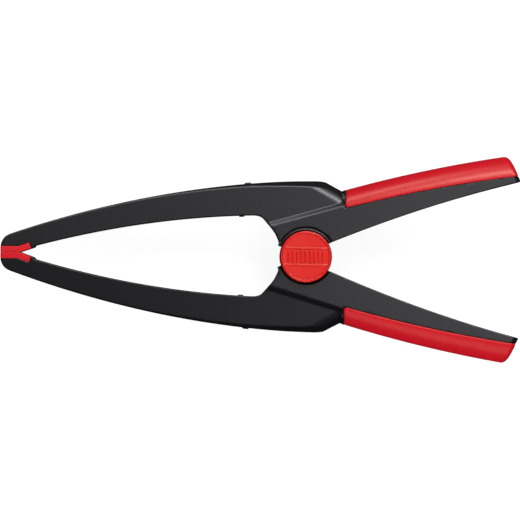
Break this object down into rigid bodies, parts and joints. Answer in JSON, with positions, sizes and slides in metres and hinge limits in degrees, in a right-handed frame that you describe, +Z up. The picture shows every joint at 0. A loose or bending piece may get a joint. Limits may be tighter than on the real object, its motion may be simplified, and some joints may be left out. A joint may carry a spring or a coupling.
{
  "type": "spring clamp",
  "caption": "Slim plastic spring clamp: long tapered jaws with soft pads at the tips, soft handle grips, and a torsion spring in a capped pivot hub.",
  "frame": {"origin": "on the pivot axis, at the rear cap's outer face, which the clamp lies on", "axes": "+Z up along the pivot axis, towards the front cap; +X along the clamp's length, towards the handles, with the jaws on the -X side; +Y across the clamp, towards the upper arm"},
  "size_m": [0.2071, 0.0826, 0.022],
  "materials": {
    "arm_plastic": "fine grain",
    "grip_soft": "soft satin",
    "pad_soft": "soft satin",
    "cap_plastic": "satin",
    "pin_steel": "zinc plated",
    "sleeve_plastic": "natural",
    "spring_steel": "drawn wire"
  },
  "bodies": {
    "lower_arm": {"lower_arm": "arm_plastic", "lower_grip": "grip_soft", "lower_jaw_pad": "pad_soft", "rear_cap": "cap_plastic", "pivot_pin": "pin_steel", "retaining_ring": "pin_steel", "front_washer": "pin_steel", "rear_washer": "pin_steel", "spring_sleeve": "sleeve_plastic", "torsion_spring": "spring_steel"},
    "upper_arm": {"upper_arm": "arm_plastic", "upper_grip": "grip_soft", "upper_jaw_pad": "pad_soft", "front_cap": "cap_plastic"}
  },
  "joints": [
    {"name": "jaw_pivot", "type": "hinge", "parent": "lower_arm", "child": "upper_arm", "pos_m": [0, 0, 0.011], "axis": [0, 0, -1], "range_deg": [0, 26], "stiffness_Nm_per_rad": 1, "springref_deg": -44.98, "deforming": ["torsion_spring"]}
  ]
}
